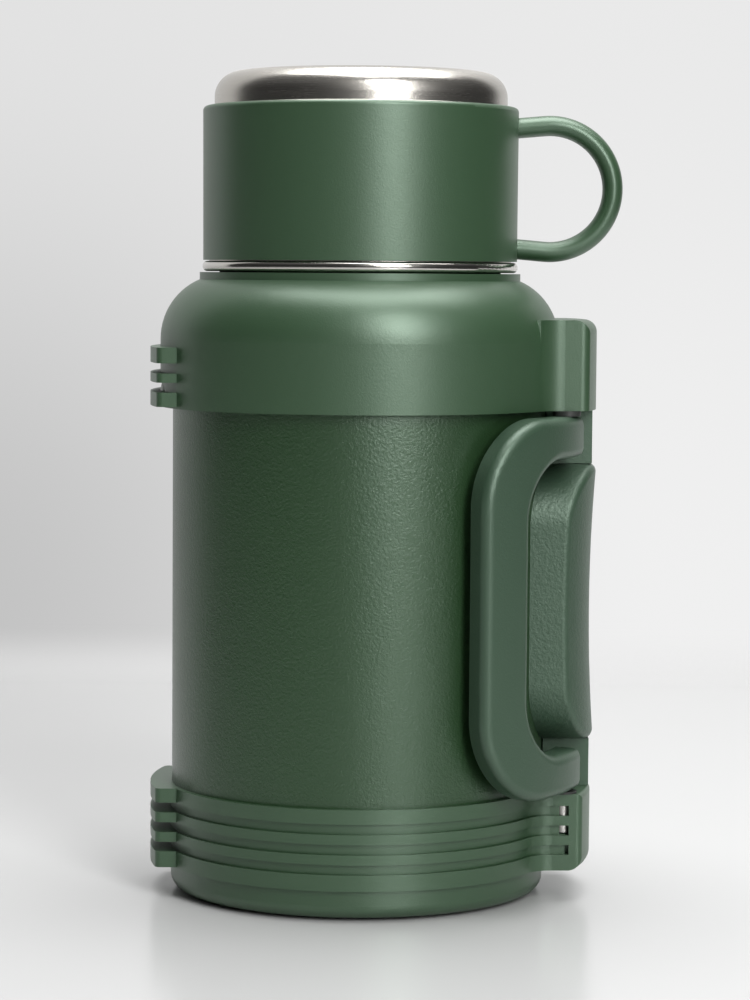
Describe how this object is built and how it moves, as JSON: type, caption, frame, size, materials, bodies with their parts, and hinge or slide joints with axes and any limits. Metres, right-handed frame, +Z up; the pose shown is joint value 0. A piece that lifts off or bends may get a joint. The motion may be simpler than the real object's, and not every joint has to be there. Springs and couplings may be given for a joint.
{
  "type": "vacuum flask",
  "caption": "Insulated steel flask with a plastic collar and ribbed base, a cup with a finger ring as its lid, a push-valve stopper and two folding handle wings.",
  "frame": {"origin": "centre of the face the flask stands on", "axes": "+Z up along the flask's axis, +X towards the folding handle and the cup's finger ring, -Y is the front"},
  "size_m": [0.1512, 0.128, 0.263],
  "materials": {
    "powder_coat": "fine powder coat, satin",
    "green_plastic": "fine-grained matte moulding",
    "dark_plastic": "matte moulding",
    "white_plastic": "natural nylon and foam",
    "steel": "brushed stainless",
    "copper_foil": "bright foil",
    "silicone": "translucent silicone",
    "rubber": "matte rubber"
  },
  "bodies": {
    "flask": {"outer_shell": "powder_coat", "shell_base": "steel", "vacuum_plug": "steel", "inner_liner": "steel", "heat_shield": "copper_foil", "getter": "steel", "collar": "green_plastic", "collar_gasket": "rubber", "neck_sleeve": "dark_plastic", "base_boot": "green_plastic", "foot_pad": "rubber", "spine": "green_plastic", "grip_pad": "green_plastic", "pad_screws": "steel", "pad_plugs": "green_plastic", "lug_screws": "steel", "hinge_pins": "steel", "hinge_washers": "dark_plastic"},
    "wing_front": {"wing_front": "green_plastic"},
    "wing_rear": {"wing_rear": "green_plastic"},
    "seal_ring": {"cup_seal": "silicone"},
    "cup": {"cup_shell": "steel", "cup_liner": "steel", "cup_sleeve": "green_plastic"},
    "gasket": {"stopper_gasket": "silicone"},
    "stopper": {"stopper_body": "green_plastic", "stopper_base": "dark_plastic", "stopper_foam": "white_plastic", "valve_spring": "steel"},
    "button": {"push_button": "dark_plastic", "valve_stem": "steel", "valve_seal": "silicone"}
  },
  "joints": [
    {"name": "wing_front_swing", "type": "hinge", "parent": "flask", "child": "wing_front", "pos_m": [0.06576, -0.02156, 0.095], "axis": [0, 0, 1], "range_deg": [0, 147]},
    {"name": "wing_rear_swing", "type": "hinge", "parent": "flask", "child": "wing_rear", "pos_m": [0.06576, 0.02156, 0.095], "axis": [0, 0, -1], "range_deg": [0, 147]},
    {"name": "cup_turn", "type": "hinge", "parent": "flask", "child": "seal_ring", "pos_m": [0, 0, 0.2033], "axis": [0, 0, 1], "continuous": true},
    {"name": "cup_lift", "type": "slide", "parent": "seal_ring", "child": "cup", "axis": [0, 0, 1], "range_m": [0, 0.064]},
    {"name": "stopper_rise", "type": "slide", "parent": "flask", "child": "gasket", "axis": [0, 0, 1], "range_m": [0, 0.0325]},
    {"name": "stopper_turn", "type": "hinge", "parent": "gasket", "child": "stopper", "pos_m": [0, 0, 0.2], "axis": [0, 0, 1], "range_deg": [0, 972]},
    {"name": "button_press", "type": "slide", "parent": "stopper", "child": "button", "axis": [0, 0, -1], "range_m": [0, 0.004], "stiffness_N_per_m": 800, "deforming": ["valve_spring"]}
  ],
  "couplings": [
    {"joint": "stopper_rise", "follows": "stopper_turn", "m_per_rad": 0.0019099}
  ]
}
